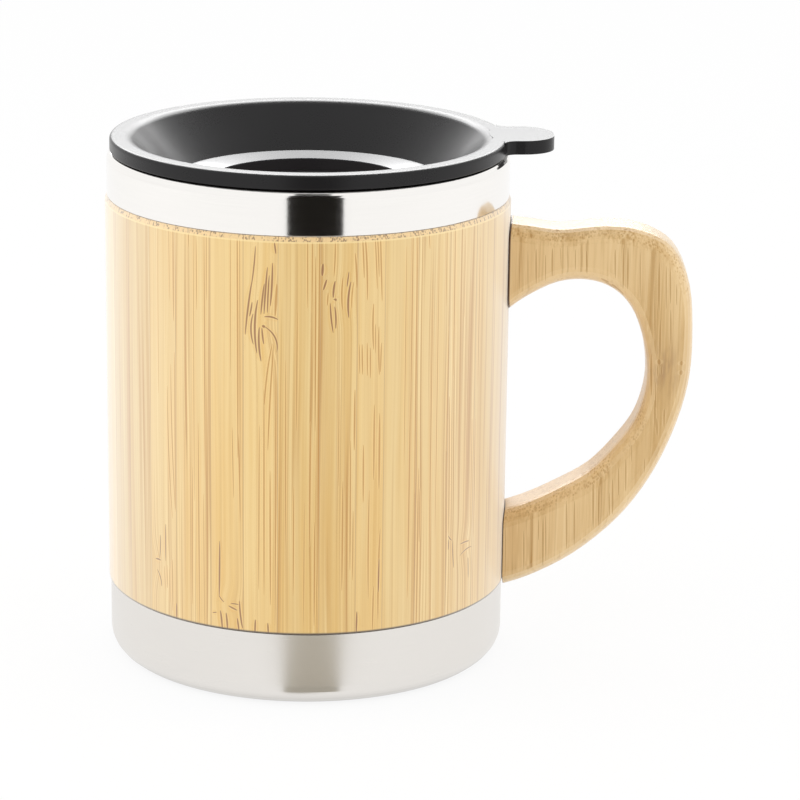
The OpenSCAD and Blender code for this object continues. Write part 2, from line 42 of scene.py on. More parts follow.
class Graph:
    """Adds shader nodes to one tree. An input is a socket of another node or a plain value."""

    def __init__(self, tree):
        self.tree = tree

    def put(self, socket, value):
        """Feeds a socket from another one, or sets its value."""
        if isinstance(value, bpy.types.NodeSocket):
            self.tree.links.new(value, socket)
        elif socket.type == "RGBA":
            socket.default_value = (*value, 1.0)
        else:
            socket.default_value = value

    def node(self, kind, inputs=None, **settings):
        """A new node with these settings and inputs."""
        made = self.tree.nodes.new(kind)
        for name, value in settings.items():
            setattr(made, name, value)
        for key, value in (inputs or {}).items():
            self.put(made.inputs[key], value)
        return made

    def math(self, operation, *values):
        made = self.node("ShaderNodeMath", operation=operation)
        for place, value in enumerate(values):
            self.put(made.inputs[place], value)
        return made.outputs[0]

    def add(self, *values):
        total = values[0]
        for value in values[1:]:
            total = self.math("ADD", total, value)
        return total

    def times(self, *values):
        total = values[0]
        for value in values[1:]:
            total = self.math("MULTIPLY", total, value)
        return total

    def less(self, a, b):
        """The value a minus b."""
        return self.math("SUBTRACT", a, b)

    def most(self, *values):
        """The largest of the values."""
        largest = values[0]
        for value in values[1:]:
            largest = self.math("MAXIMUM", largest, value)
        return largest

    def least(self, a, b):
        """The smaller of two values."""
        return self.math("MINIMUM", a, b)

    def unit(self, value):
        """The value, held between zero and one."""
        return self.least(self.most(value, 0.0), 1.0)

    def vector(self, operation, *values, scale=None):
        """What a vector operation gives: a plain value for a dot product and a length."""
        made = self.node("ShaderNodeVectorMath", operation=operation)
        for place, value in enumerate(values):
            self.put(made.inputs[place], value)
        if scale is not None:
            self.put(made.inputs["Scale"], scale)
        return made.outputs["Value" if operation in ("DOT_PRODUCT", "LENGTH") else "Vector"]

    def combine(self, x, y, z=0.0):
        return self.node("ShaderNodeCombineXYZ", {"X": x, "Y": y, "Z": z}).outputs[0]

    def in_cells(self, x, y, z, size_x, size_y, size_z):
        """The point in a pattern whose cells have these sizes."""
        return self.combine(self.times(x, 1 / size_x), self.times(y, 1 / size_y), self.times(z, 1 / size_z))

    def bell(self, x, y, middle, reach):
        """One at the middle, and falling smoothly to zero over the reach in x and in y."""
        u = self.times(self.less(x, middle[0]), 1 / reach[0])
        v = self.times(self.less(y, middle[1]), 1 / reach[1])
        return self.math("EXPONENT", self.times(self.add(self.times(u, u), self.times(v, v)), -1.0))

    def ramp(self, value, start, end, low=0.0, high=1.0):
        """A smooth step from low at start to high at end."""
        inputs = {"Value": value, "From Min": start, "From Max": end, "To Min": low, "To Max": high}
        made = self.node("ShaderNodeMapRange", inputs, interpolation_type="SMOOTHSTEP")
        return made.outputs["Result"]

    def noise(self, point, detail=0.0, rough=0.5, kind="3D"):
        """A soft noise about one half, whose cells are one unit wide."""
        inputs = {"Vector": point, "Scale": 1.0, "Detail": detail, "Roughness": rough}
        return self.node("ShaderNodeTexNoise", inputs, noise_dimensions=kind).outputs["Fac"]

    def cells(self, point):
        """Distance to the nearest cell's core, and a random value for each cell."""
        inputs = {"Vector": point, "Scale": 1.0, "Randomness": 1.0}
        made = self.node("ShaderNodeTexVoronoi", inputs, voronoi_dimensions="3D")
        chance = self.node("ShaderNodeSeparateColor", {"Color": made.outputs["Color"]})
        return made.outputs["Distance"], chance.outputs["Red"]

    def mix(self, share, a, b):
        """Colour a with this share of colour b."""
        made = self.node("ShaderNodeMix", data_type="RGBA")
        self.put(made.inputs["Factor"], share)
        self.put(made.inputs[6], a)
        self.put(made.inputs[7], b)
        return made.outputs[2]

    def layers(self, colour, coats):
        """The colour under some coats. Each is where it lies, how strongly, and its colour."""
        for where, strength, coat in coats:
            colour = self.mix(self.times(where, strength), colour, coat)
        return colour

    def tint(self, colour, factor):
        """The colour with every channel times factor."""
        return self.vector("SCALE", colour, scale=factor)

    def place_mm(self):
        """The point on the object, in millimetres."""
        here = self.node("ShaderNodeTexCoord").outputs["Object"]
        return self.vector("SCALE", here, scale=PER_METRE)

    def split(self, point):
        made = self.node("ShaderNodeSeparateXYZ", {"Vector": point})
        return made.outputs["X"], made.outputs["Y"], made.outputs["Z"]


def new_material(name):
    """A material with one Principled shader, its graph and that shader."""
    material = bpy.data.materials.new(name)
    material.use_nodes = True
    graph = Graph(material.node_tree)
    shader = material.node_tree.nodes["Principled BSDF"]
    return material, graph, shader


def bump(graph, shader, height, depth_mm):
    """Raises the surface by height times depth."""
    inputs = {"Height": height, "Distance": depth_mm * MM, "Strength": 1.0}
    made = graph.node("ShaderNodeBump", inputs)
    graph.put(shader.inputs["Normal"], made.outputs["Normal"])


def set_constants(shader, values):
    """Sets sockets of the shader that are the same all over the surface."""
    for socket, value in values.items():
        shader.inputs[socket].default_value = value


def dress(material, *names):
    """Gives CAD nodes a material."""
    for name in names:
        NODES[name].material_slots[0].material = material


# Bamboo of the sleeve

BAMBOO = (0.752, 0.520, 0.187)
BAMBOO_WARM = (0.702, 0.424, 0.092)
BAMBOO_PALE = (0.885, 0.680, 0.300)
FIBRE = (0.470, 0.210, 0.008)
GLUE = (0.420, 0.225, 0.070)
KNOT_BROWN = (0.255, 0.088, 0.001)
LINE_WARM = (0.720, 0.400, 0.070)
# Painted shade in the seam at the sleeve's foot
SEAM_SHADE_BROWN = (0.040, 0.024, 0.012)
DOT_BROWN = (0.170, 0.080, 0.020)
END_GRAIN = (0.790, 0.545, 0.235)
SLEEVE_LACQUER = {
    "Specular IOR Level": 0.0,
    "Coat Weight": 1.0,
    "Coat IOR": 1.35,
    "Coat Roughness": 0.25,
    "Sheen Weight": 1.0,
    "Sheen Roughness": 0.65,
}
SLEEVE_RELIEF = 0.05

# Widths and lengths in the pattern of the sleeve. The cut end's pattern starts END_START over the rim,
# and the patterns of two neighbouring staves are read STAVE_APART from each other
FINE_LINE = (0.36, 95.0)
WIDE_LINE = (0.80, 120.0)
LINE_BAND = (1.7, 90.0)
EDGE_BAND = 1.9
FIBRE_DOT = 0.36
DOT_LENGTH = 0.60
GLUE_WIDTH = 0.04
GLUE_SPREAD = 0.11
# Painted shade of the seam at the sleeve's foot: the heights over the foot where it is full and where it
# fades out
FOOT_SEAM_SHADE = (0.10, 0.42)
END_START = 0.12
STAVE_APART = 17.3


def group_tree(name, inputs, outputs):
    """An empty node group with float or vector or colour sockets, and its graph."""
    tree = bpy.data.node_groups.new(name, "ShaderNodeTree")
    for socket, kind in inputs.items():
        tree.interface.new_socket(socket, in_out="INPUT", socket_type=kind)
    for socket, kind in outputs.items():
        tree.interface.new_socket(socket, in_out="OUTPUT", socket_type=kind)
    graph = Graph(tree)
    source = tree.nodes.new("NodeGroupInput").outputs
    target = tree.nodes.new("NodeGroupOutput").inputs
    return tree, graph, source, target


FLOAT = "NodeSocketFloat"
VECTOR = "NodeSocketVector"
COLOUR = "NodeSocketColor"


def stroke_group():
    """One grain line: how far a point lies from it, where 1 is the edge of the line."""
    vectors = dict.fromkeys(("Point", "Start", "Along", "Across"), VECTOR)
    inputs = {**vectors, "Bend": FLOAT, "Width": FLOAT}
    tree, g, source, target = group_tree("grain stroke", inputs, {"Off": FLOAT})
    reach = g.vector("SUBTRACT", source["Point"], source["Start"])
    t = g.vector("DOT_PRODUCT", reach, source["Along"])
    side = g.vector("DOT_PRODUCT", reach, source["Across"])
    arch = g.most(g.times(t, g.less(1.0, t), 4.0), 0.0)
    bent = g.less(side, g.times(source["Bend"], arch))
    width = g.times(source["Width"], g.math("POWER", arch, 0.4))
    g.put(target["Off"], g.math("DIVIDE", g.math("ABSOLUTE", bent), g.add(width, 0.001)))
    return tree


STROKE = stroke_group()
FAR_OFF = 9.0


def strokes(g, point, lines):
    """Distance to the nearest of a few strokes. Each is its start, its end, its bend and its half width."""
    nearest = FAR_OFF
    for (s0, z0), (s1, z1), bend, width in lines:
        run = Vector((s1 - s0, z1 - z0, 0.0))
        made = g.node("ShaderNodeGroup", node_tree=STROKE)
        g.put(made.inputs["Point"], point)
        g.put(made.inputs["Start"], (s0, z0, 0.0))
        g.put(made.inputs["Along"], run / run.length_squared)
        g.put(made.inputs["Across"], Vector((-run.y, run.x, 0.0)) / run.length)
        g.put(made.inputs["Bend"], bend)
        g.put(made.inputs["Width"], width)
        nearest = g.least(nearest, made.outputs["Off"])
    return nearest


class StaveFace:
    """The patterns of one stave, from the place across it, its height and its depth."""

    def __init__(self, graph, source):
        self.g = graph
        self.source = source
        self.across, self.height = source["Across"], source["Height"]
        self.depth, self.half = source["Depth"], source["Half"]
        self.offset = graph.times(source["Seed"], STAVE_APART)
        sway = graph.less(self.pattern(self.across, 9.0, 60.0, 0.0), 0.5)
        self.grain = graph.add(self.across, graph.times(sway, 1.2), source["Shift"])

    def pattern(self, place, pitch, length, extra, detail=0.0, rough=0.5):
        """A noise whose cells are pitch wide and length high. Extra sets it apart from the others."""
        g = self.g
        side = g.add(g.times(place, 1 / pitch), self.offset, extra)
        return g.noise(g.combine(side, g.times(self.height, 1 / length)), detail, rough, "2D")

    def gather(self):
        """Where the lines gather: in soft bands, and along the two glued edges."""
        g = self.g
        bands = g.ramp(self.pattern(self.grain, *LINE_BAND, 5.1, 1.0), 0.44, 0.62)
        left_edge = g.ramp(g.add(self.grain, self.half), EDGE_BAND, 0.2)
        right_edge = g.ramp(g.less(self.half, self.grain), EDGE_BAND, 0.2)
        total = g.add(
            0.10,
            g.times(bands, self.source["Lines"]),
            g.times(left_edge, self.source["Left"]),
            g.times(right_edge, self.source["Right"]),
        )
        return g.least(total, 1.1)

    def fine_lines(self):
        """Dark lines where a drawn-out noise peaks, and pale ones where it dips."""
        g = self.g
        gather = self.gather()
        narrow = self.pattern(self.grain, *FINE_LINE, 0.0)
        wider = self.pattern(self.grain, *WIDE_LINE, 3.7)
        dark = g.add(g.times(g.ramp(narrow, 0.56, 0.76), 0.75), g.times(g.ramp(wider, 0.60, 0.74), 0.60))
        dark = g.least(g.times(gather, dark), 0.85)
        pale = g.most(g.ramp(narrow, 0.44, 0.28), g.ramp(wider, 0.42, 0.26))
        return dark, g.times(pale, g.add(gather, 0.15))

    def end_dots(self):
        """The dots of the fibre bundles on the cut ends, gathered in groups."""
        g = self.g
        side = g.add(g.times(self.across, 1 / FIBRE_DOT), self.offset)
        place = g.combine(side, g.times(self.depth, 1 / FIBRE_DOT), g.times(self.height, 1 / DOT_LENGTH))
        dot, chance = g.cells(place)
        groups = g.ramp(self.pattern(self.across, 1.6, 30.0, 8.8, 1.0), 0.40, 0.56, 0.10, 1.0)
        return g.times(g.ramp(dot, 0.62, 0.34), g.ramp(chance, 0.0, 0.3), groups)

    def glue(self):
        """The glue line, a little wider and darker in places."""
        g = self.g
        spread = g.times(self.pattern(self.across, 5.0, 14.0, 4.4, 2.0), GLUE_SPREAD)
        width = g.add(GLUE_WIDTH, spread)
        to_edge = g.less(self.half, g.math("ABSOLUTE", self.across))
        return g.ramp(g.math("DIVIDE", to_edge, width), 1.2, 0.4)

    def stroke_parts(self, name, core_ramp, highlight_ramp, shade_ramp):
        """The core of the drawn strokes, a pale rim beside it that is a painted highlight, and a warm tint
        round it.
        """
        g = self.g
        off = self.source[name]
        core = g.ramp(off, *core_ramp)
        rim = g.times(g.ramp(off, *highlight_ramp), g.less(1.0, core))
        return core, rim, g.ramp(off, *shade_ramp)

    def warmth(self, fine, knot_shade):
        """Warmer towards the foot and round the knots. The change with height is painted reflection: paler
        towards the top, more saturated towards the foot.
        """
        g = self.g
        slow = g.less(self.pattern(self.grain, 2.2, 60.0, 2.2, 1.0), 0.5)
        # Painted reflection: paler towards the top and warmer towards the foot
        low = g.ramp(self.height, SLEEVE_TOP, SLEEVE_FOOT, -0.16, 0.20)
        waves = g.add(g.times(fine, 0.5), g.times(slow, 1.7))
        return g.unit(g.add(0.24, low, self.source["Warmth"], waves, g.times(knot_shade, 0.55)))

    def cut_end(self, colour, glue):
        """The colour, with the cut end's own colour above the rim, and a painted highlight along the rim.
        """
        g = self.g
        ends = g.math("GREATER_THAN", self.height, SLEEVE_RIM + END_START)
        # Painted highlight: a pale line along the rim under the chamfer
        painted_rim_highlight = g.ramp(g.math("ABSOLUTE", g.less(SLEEVE_RIM, self.height)), 0.30, 0.08)
        face = g.layers(colour, [(painted_rim_highlight, 0.65, BAMBOO_PALE)])
        end = g.layers(END_GRAIN, [(self.end_dots(), 0.80, DOT_BROWN), (glue, 0.70, KNOT_BROWN)])
        return g.mix(ends, face, end)


def stave_group():
    """The face of one stave as a node group: its colour, its roughness and its relief."""
    floats = ("Across", "Height", "Depth", "Half", "Seed", "Tone", "Warmth", "Left", "Right", "Lines")
    inputs = dict.fromkeys(floats + ("Line", "Knot", "Shift"), FLOAT)
    outputs = {"Colour": COLOUR, "Rough": FLOAT, "Relief": FLOAT}
    tree, g, source, target = group_tree("bamboo stave", inputs, outputs)
    face = StaveFace(g, source)
    dark, pale = face.fine_lines()
    glue = face.glue()
    fine = g.less(face.pattern(face.grain, 0.16, 14.0, 0.0, 1.0, 0.6), 0.5)
    line, line_highlight, line_shade = face.stroke_parts("Line", (1.25, 0.35), (2.9, 1.7), (4.5, 1.2))
    knot, knot_highlight, knot_shade = face.stroke_parts("Knot", (1.90, 0.60), (3.6, 2.3), (8.0, 1.5))
    colour = g.mix(face.warmth(fine, knot_shade), BAMBOO, BAMBOO_WARM)
    colour = g.layers(colour, [(pale, 0.45, BAMBOO_PALE)])
    colour = g.layers(g.tint(colour, source["Tone"]), [
        (dark, 1.0, FIBRE),
        (line_shade, 0.30, LINE_WARM),
        # Painted highlight: the pale rim beside the long lines
        (line_highlight, 0.30, BAMBOO_PALE),
        (line, 0.85, FIBRE),
        (glue, 0.55, GLUE),
        (knot_shade, 0.25, LINE_WARM),
        # Painted highlight: the pale rim beside the knots
        (knot_highlight, 0.35, BAMBOO_PALE),
        (knot, 0.92, KNOT_BROWN),
    ])
    # Painted shade: a dark brown band along the sleeve's foot, where the seam over the base cup lies in
    # shade
    foot = g.ramp(face.height, SLEEVE_FOOT + FOOT_SEAM_SHADE[1], SLEEVE_FOOT + FOOT_SEAM_SHADE[0])
    colour = g.layers(face.cut_end(colour, glue), [(foot, 0.92, SEAM_SHADE_BROWN)])
    g.put(target["Colour"], colour)
    g.put(target["Rough"], g.add(0.48, g.times(dark, 0.08), g.times(fine, 0.10)))
    marks = g.most(dark, line, glue)
    g.put(target["Relief"], g.less(g.times(fine, 0.25), g.times(marks, 0.04)))
    return tree


STAVE = stave_group()

# What the front staves look like: tone, warmth, lines at the left and right edge, bands of lines. Near both
# sides the lower tone is partly painted shade and the lower warmth partly painted sheen
STAVE_LOOKS_AND_SIDE_SHADE = {
    "stave_01": (0.84, -0.15, 0.3, 0.5, 0.9),
    "stave_02": (0.86, -0.15, 0.2, 0.6, 0.7),
    "stave_03": (0.94, -0.15, 0.4, 0.5, 0.5),
    "stave_04": (0.96, -0.08, 0.5, 0.4, 0.8),
    "stave_05": (1.00, 0.02, 0.0, 0.4, 0.1),
    "stave_06": (1.01, -0.04, 0.0, 0.3, 0.3),
    "stave_07": (0.97, 0.10, 0.2, 0.7, 0.4),
    "stave_08": (0.96, 0.16, 0.2, 0.2, 0.5),
    "stave_09": (0.99, 0.00, 0.0, 0.2, 0.1),
    "stave_10": (0.95, -0.08, 0.0, 0.7, 0.3),
    "stave_11": (0.95, -0.15, 0.5, 0.7, 0.9),
    "stave_12": (0.96, -0.20, 0.6, 0.5, 0.8),
    "stave_13": (0.94, -0.12, 0.3, 0.5, 0.7),
}

# The range that each of these values is drawn from for all other staves
CHANCE_LOOKS = [(0.97, 1.04), (-0.08, 0.12), (0.2, 0.8), (0.2, 0.8), (0.2, 0.8)]

# The strongest long lines of the front staves: start and end in millimetres across and up the stave,
# bend, and half width
LONG_LINES = {
    "stave_03": [
        ((3.10, 95.0), (3.10, 75.0), 0.00, 0.22),
        ((2.00, 95.0), (2.10, 79.0), 0.00, 0.12),
        ((3.30, 69.0), (3.30, 37.0), 0.00, 0.18),
        ((2.30, 66.5), (3.20, 37.5), -0.25, 0.17),
        ((1.40, 62.0), (2.50, 35.5), -0.35, 0.17),
        ((-1.00, 94.0), (-1.10, 60.0), 0.00, 0.10),
        ((2.40, 27.2), (2.40, 16.6), 0.00, 0.18),
        ((1.60, 25.5), (1.70, 18.0), 0.00, 0.14),
        ((0.90, 25.8), (1.00, 21.0), 0.00, 0.13),
        ((0.20, 25.4), (0.40, 20.6), 0.00, 0.13),
    ],
    "stave_04": [
        ((0.35, 95.0), (0.30, 40.0), 0.00, 0.12),
        ((1.00, 92.0), (1.05, 78.0), 0.00, 0.13),
        ((2.75, 95.0), (2.80, 45.0), 0.00, 0.16),
        ((3.25, 95.0), (3.20, 80.0), 0.00, 0.12),
        ((-0.70, 95.0), (-0.75, 89.8), 0.00, 0.14),
        ((-0.15, 47.0), (-0.30, 19.0), 0.00, 0.16),
        ((-0.60, 60.0), (-0.65, 18.0), 0.00, 0.10),
        ((1.25, 56.0), (1.40, 14.0), 0.00, 0.17),
        ((-1.90, 56.0), (-2.00, 22.0), 0.00, 0.11),
        ((2.40, 42.0), (2.50, 14.0), 0.00, 0.11),
    ],
    "stave_05": [
        ((0.85, 95.0), (0.80, 66.0), 0.00, 0.10),
        ((2.20, 98.0), (2.30, 50.0), 0.04, 0.20),
        ((2.72, 98.0), (2.75, 45.0), 0.00, 0.13),
        ((2.30, 56.0), (2.75, 37.0), 0.10, 0.16),
        ((1.15, 56.0), (1.40, 42.0), 0.00, 0.12),
    ],
    "stave_06": [
        ((3.15, 84.6), (2.80, 78.2), 0.00, 0.26),
        ((2.30, 73.0), (0.80, 61.0), -0.25, 0.17),
        ((2.55, 73.0), (1.45, 52.0), -0.10, 0.18),
        ((0.70, 64.0), (0.75, 23.0), 0.00, 0.17),
        ((-0.20, 57.0), (-0.30, 24.0), 0.00, 0.14),
        ((1.90, 48.0), (2.00, 21.0), 0.00, 0.18),
        ((2.95, 70.0), (2.95, 17.0), 0.00, 0.12),
    ],
    "stave_07": [
        ((1.50, 95.0), (1.60, 80.0), 0.00, 0.12),
        ((2.45, 95.0), (2.40, 79.0), 0.00, 0.11),
        ((3.05, 90.0), (3.10, 56.0), 0.00, 0.17),
        ((2.20, 58.0), (2.15, 33.0), 0.00, 0.15),
        ((3.10, 38.0), (3.10, 17.0), 0.00, 0.16),
        ((-2.50, 70.0), (-2.45, 33.0), 0.00, 0.12),
        ((-0.35, 80.0), (-0.40, 56.0), 0.00, 0.13),
        ((-0.90, 45.0), (-0.95, 23.0), 0.00, 0.14),
        ((1.10, 42.0), (1.10, 17.0), 0.00, 0.11),
        ((3.75, 98.0), (3.75, 25.0), 0.00, 0.18),
    ],
    "stave_08": [
        ((-0.85, 93.0), (-1.05, 86.0), 0.10, 0.15),
        ((-2.10, 83.0), (-2.25, 80.5), 0.00, 0.15),
        ((0.70, 86.0), (0.65, 79.5), -0.20, 0.17),
        ((2.75, 84.9), (2.40, 79.7), -0.15, 0.16),
        ((2.95, 90.5), (3.35, 83.5), 0.10, 0.19),
        ((3.15, 64.0), (3.10, 52.0), 0.00, 0.19),
        ((0.10, 64.0), (0.10, 45.0), 0.00, 0.10),
        ((2.40, 54.0), (2.45, 28.0), 0.00, 0.17),
        ((3.00, 40.0), (3.00, 26.0), 0.00, 0.14),
        ((0.95, 46.0), (0.90, 24.0), 0.00, 0.18),
    ],
    "stave_09": [
        ((-1.95, 94.0), (-1.50, 85.5), 0.05, 0.17),
        ((-1.55, 95.0), (-0.85, 81.2), 0.20, 0.19),
        ((0.45, 95.0), (1.10, 83.2), 0.05, 0.15),
        ((0.90, 95.0), (1.45, 85.5), 0.05, 0.15),
        ((1.55, 95.0), (2.10, 80.8), 0.00, 0.18),
        ((0.40, 80.5), (0.50, 71.5), -0.15, 0.20),
        ((0.80, 76.5), (0.90, 70.8), 0.00, 0.13),
        ((1.50, 76.0), (1.70, 66.5), -0.10, 0.19),
        ((2.05, 72.8), (1.90, 67.0), 0.00, 0.15),
        ((-2.35, 72.8), (-2.20, 67.0), 0.00, 0.13),
        ((-1.80, 72.8), (-1.65, 66.8), 0.00, 0.16),
        ((-0.80, 73.0), (-0.70, 66.5), 0.00, 0.15),
        ((-0.15, 72.0), (-0.10, 66.0), 0.00, 0.15),
        ((0.75, 60.8), (0.75, 45.8), 0.00, 0.19),
        ((1.85, 59.0), (1.85, 43.8), 0.00, 0.22),
        ((-1.35, 53.0), (-1.30, 41.5), 0.00, 0.18),
        ((-0.10, 44.0), (-0.10, 22.0), -0.10, 0.16),
        ((2.20, 36.0), (1.95, 17.5), -0.15, 0.20),
        ((0.95, 24.5), (0.80, 15.4), 0.00, 0.17),
    ],
    "stave_10": [
        ((0.80, 91.0), (0.85, 48.0), 0.00, 0.11),
        ((2.20, 95.0), (2.15, 62.0), 0.00, 0.14),
        ((2.05, 62.0), (2.00, 21.0), 0.00, 0.17),
        ((3.20, 97.0), (3.25, 42.0), 0.00, 0.17),
    ],
    "stave_11": [
        ((-3.30, 47.0), (-3.30, 14.0), 0.00, 0.19),
        ((-2.95, 43.0), (-2.90, 32.0), 0.00, 0.15),
        ((-1.75, 95.0), (-1.35, 89.8), 0.00, 0.14),
        ((-0.50, 82.0), (-0.45, 26.0), 0.00, 0.13),
        ((0.90, 90.0), (0.95, 32.0), 0.00, 0.12),
        ((2.85, 95.0), (2.90, 78.0), 0.00, 0.13),
        ((3.70, 74.0), (3.65, 49.0), 0.00, 0.15),
    ],
    "stave_12": [
        ((-2.85, 95.0), (-2.75, 64.0), 0.00, 0.17),
        ((-3.80, 60.0), (-3.40, 32.0), 0.10, 0.22),
        ((0.10, 91.0), (0.15, 75.0), 0.00, 0.10),
        ((0.90, 48.0), (1.30, 31.5), -0.10, 0.10),
        ((3.30, 54.0), (3.40, 30.5), 0.00, 0.16),
    ],
    "stave_13": [
        ((-2.50, 90.0), (-2.40, 60.0), 0.00, 0.20),
        ((-3.10, 54.0), (-2.90, 29.5), 0.00, 0.22),
        ((-3.00, 27.0), (-3.00, 14.0), 0.00, 0.12),
    ],
}

# The strokes of the knots, in the same form
KNOT_STROKES = {
    "stave_06": [
        ((-0.95, 91.6), (-1.80, 83.6), 0.12, 0.11),
        ((-1.60, 85.0), (-2.95, 74.4), -0.12, 0.14),
        ((-1.60, 80.8), (-2.10, 78.0), 0.05, 0.12),
        ((-1.40, 78.6), (-1.35, 72.6), -0.45, 0.13),
        ((-0.50, 81.3), (-0.65, 70.9), -0.50, 0.16),
        ((0.75, 84.5), (0.10, 78.5), -0.05, 0.13),
        ((1.35, 87.7), (0.70, 78.6), -0.05, 0.14),
        ((1.70, 86.2), (1.35, 78.9), -0.05, 0.12),
        ((2.30, 88.6), (1.90, 80.2), 0.10, 0.14),
        ((0.75, 78.1), (3.35, 77.7), 0.25, 0.13),
        ((0.35, 76.4), (0.90, 76.1), 0.00, 0.20),
        ((0.65, 76.3), (3.15, 71.3), 1.00, 0.12),
        ((-0.20, 76.1), (0.15, 69.4), -0.25, 0.15),
        ((0.30, 76.0), (0.65, 72.8), -0.05, 0.13),
        ((2.65, 92.5), (2.95, 90.3), 0.00, 0.12),
        ((-0.95, 17.9), (-1.05, 15.2), 0.00, 0.13),
        ((1.50, 17.4), (1.60, 15.2), 0.00, 0.12),
    ],
    "stave_08": [
        ((-3.10, 88.6), (-3.25, 86.2), 0.00, 0.18),
        ((-2.40, 85.5), (-3.00, 83.5), 0.00, 0.14),
        ((-0.80, 85.2), (-1.15, 82.0), -0.08, 0.15),
        ((-1.05, 81.7), (-0.60, 81.3), 0.20, 0.16),
        ((-1.70, 81.0), (-1.10, 75.2), -0.10, 0.12),
        ((-0.85, 80.3), (-0.65, 76.0), 0.12, 0.12),
        ((2.20, 85.0), (1.85, 78.0), -0.32, 0.15),
        ((1.80, 86.9), (1.45, 84.0), 0.00, 0.10),
    ],
    "stave_05": [
        ((-1.50, 33.0), (-1.65, 21.6), 0.02, 0.14),
        ((-1.65, 21.9), (-0.60, 20.7), -0.10, 0.09),
        ((0.30, 20.1), (2.10, 19.4), 0.00, 0.13),
        ((0.80, 20.6), (2.40, 20.6), 0.05, 0.10),
        ((2.60, 21.4), (3.25, 15.8), -0.15, 0.14),
        ((-1.40, 18.9), (-1.00, 15.2), 0.05, 0.15),
        ((-0.20, 18.6), (0.10, 15.2), 0.05, 0.15),
        ((2.15, 17.8), (2.50, 15.2), 0.00, 0.13),
        ((-3.10, 18.2), (-2.20, 18.4), 0.00, 0.08),
    ],
    "stave_03": [
        ((-2.30, 26.3), (-0.80, 26.3), 0.05, 0.14),
        ((-0.85, 31.5), (-1.15, 26.6), 0.10, 0.11),
        ((0.60, 34.0), (0.60, 26.4), 0.00, 0.12),
        ((-1.90, 24.2), (-0.65, 21.0), 0.35, 0.12),
        ((3.40, 18.5), (3.35, 15.2), 0.00, 0.13),
    ],
    "stave_09": [
        ((-2.35, 19.6), (-2.45, 15.2), 0.00, 0.13),
        ((2.05, 30.0), (1.95, 23.0), 0.00, 0.11),
    ],
    "stave_12": [
        ((-3.40, 31.8), (-2.40, 30.6), -0.10, 0.10),
        ((-3.25, 31.0), (-3.30, 28.8), 0.00, 0.11),
        ((-2.10, 30.4), (-1.70, 24.8), -0.10, 0.11),
        ((0.10, 29.2), (3.00, 29.2), 0.10, 0.11),
        ((0.10, 26.8), (3.90, 27.8), 0.35, 0.10),
        ((2.80, 25.8), (3.00, 21.5), 0.00, 0.11),
    ],
}

# How far a knot pushes the grain aside: its place, its reach across and up, and the push
KNOT_PUSHES = {
    "stave_06": [((2.6, 77.2), (3.6, 6.5), 1.5)],
    "stave_08": [((0.5, 82.0), (2.6, 4.5), 0.7)],
    "stave_05": [((0.0, 20.5), (3.0, 3.0), 0.9)],
    "stave_03": [((-1.6, 25.2), (2.6, 4.0), -1.2)],
    "stave_12": [((1.6, 28.4), (2.8, 3.6), 0.9)],
}


def pushed(g, across, height, pushes):
    """The shift of the grain round the knots of one stave."""
    total = 0.0
    for middle, reach, push in pushes:
        total = g.add(total, g.times(g.bell(across, height, middle, reach), push))
    return total


def stave_span(name):
    """Azimuth of a stave's middle, and half its width on the sleeve's face."""
    turns = [math.atan2(v.co.y, v.co.x) for v in NODES[name].data.vertices]
    first = turns[0]
    turns = [math.remainder(turn - first, math.tau) for turn in turns]
    middle = first + (min(turns) + max(turns)) / 2
    return middle, (max(turns) - min(turns)) / 2 * SLEEVE_R


def stave_material(name, seed):
    """One stave: its own tone and lines, in coordinates across and up its face."""
    middle, half = stave_span(name)
    draw = random.Random(seed)
    drawn = [draw.uniform(low, high) for low, high in CHANCE_LOOKS]
    tone, warmth, left, right, bands = STAVE_LOOKS_AND_SIDE_SHADE.get(name, drawn)
    material, g, shader = new_material("bamboo " + name)
    turned = g.node("ShaderNodeVectorRotate", rotation_type="Z_AXIS")
    g.put(turned.inputs["Vector"], g.place_mm())
    g.put(turned.inputs["Angle"], -middle)
    depth, side, height = g.split(turned.outputs[0])
    across = g.times(g.math("DIVIDE", side, depth), SLEEVE_R)
    point = g.combine(across, height)
    face = g.node("ShaderNodeGroup", node_tree=STAVE)
    values = {
        "Across": across, "Height": height, "Depth": depth, "Half": half, "Seed": float(seed),
        "Tone": tone, "Warmth": warmth, "Left": left, "Right": right, "Lines": bands,
        "Line": strokes(g, point, LONG_LINES.get(name, [])),
        "Knot": strokes(g, point, KNOT_STROKES.get(name, [])),
        "Shift": pushed(g, across, height, KNOT_PUSHES.get(name, [])),
    }
    for socket, value in values.items():
        g.put(face.inputs[socket], value)
    g.put(shader.inputs["Base Color"], face.outputs["Colour"])
    g.put(shader.inputs["Roughness"], face.outputs["Rough"])
    set_constants(shader, SLEEVE_LACQUER)
    bump(g, shader, face.outputs["Relief"], SLEEVE_RELIEF)
    return material


# Bamboo of the handle

HANDLE_TAN = (0.720, 0.505, 0.245)
HANDLE_WARM = (0.500, 0.295, 0.090)
HANDLE_PALE = (0.800, 0.600, 0.330)
HANDLE_FIBRE = (0.360, 0.175, 0.020)
SMUDGE_BROWN = (0.330, 0.185, 0.085)
# Painted shade in the seam at the handle's roots
ROOT_SHADE_BROWN = (0.075, 0.026, 0.004)
HANDLE_LACQUER = {
    "Specular IOR Level": 0.10,
    "Coat Weight": 0.60,
    "Coat Roughness": 0.35,
    "Sheen Weight": 0.5,
    "Sheen Roughness": 0.55,
}
HANDLE_RELIEF = 0.04
HANDLE_DOT = 0.42

# Cells of the slow noises in the handle, along x, y and z
WANDER_CELL = (9.0, 9.0, 34.0)
CROWD_CELL = (3.5, 3.5, 8.0)

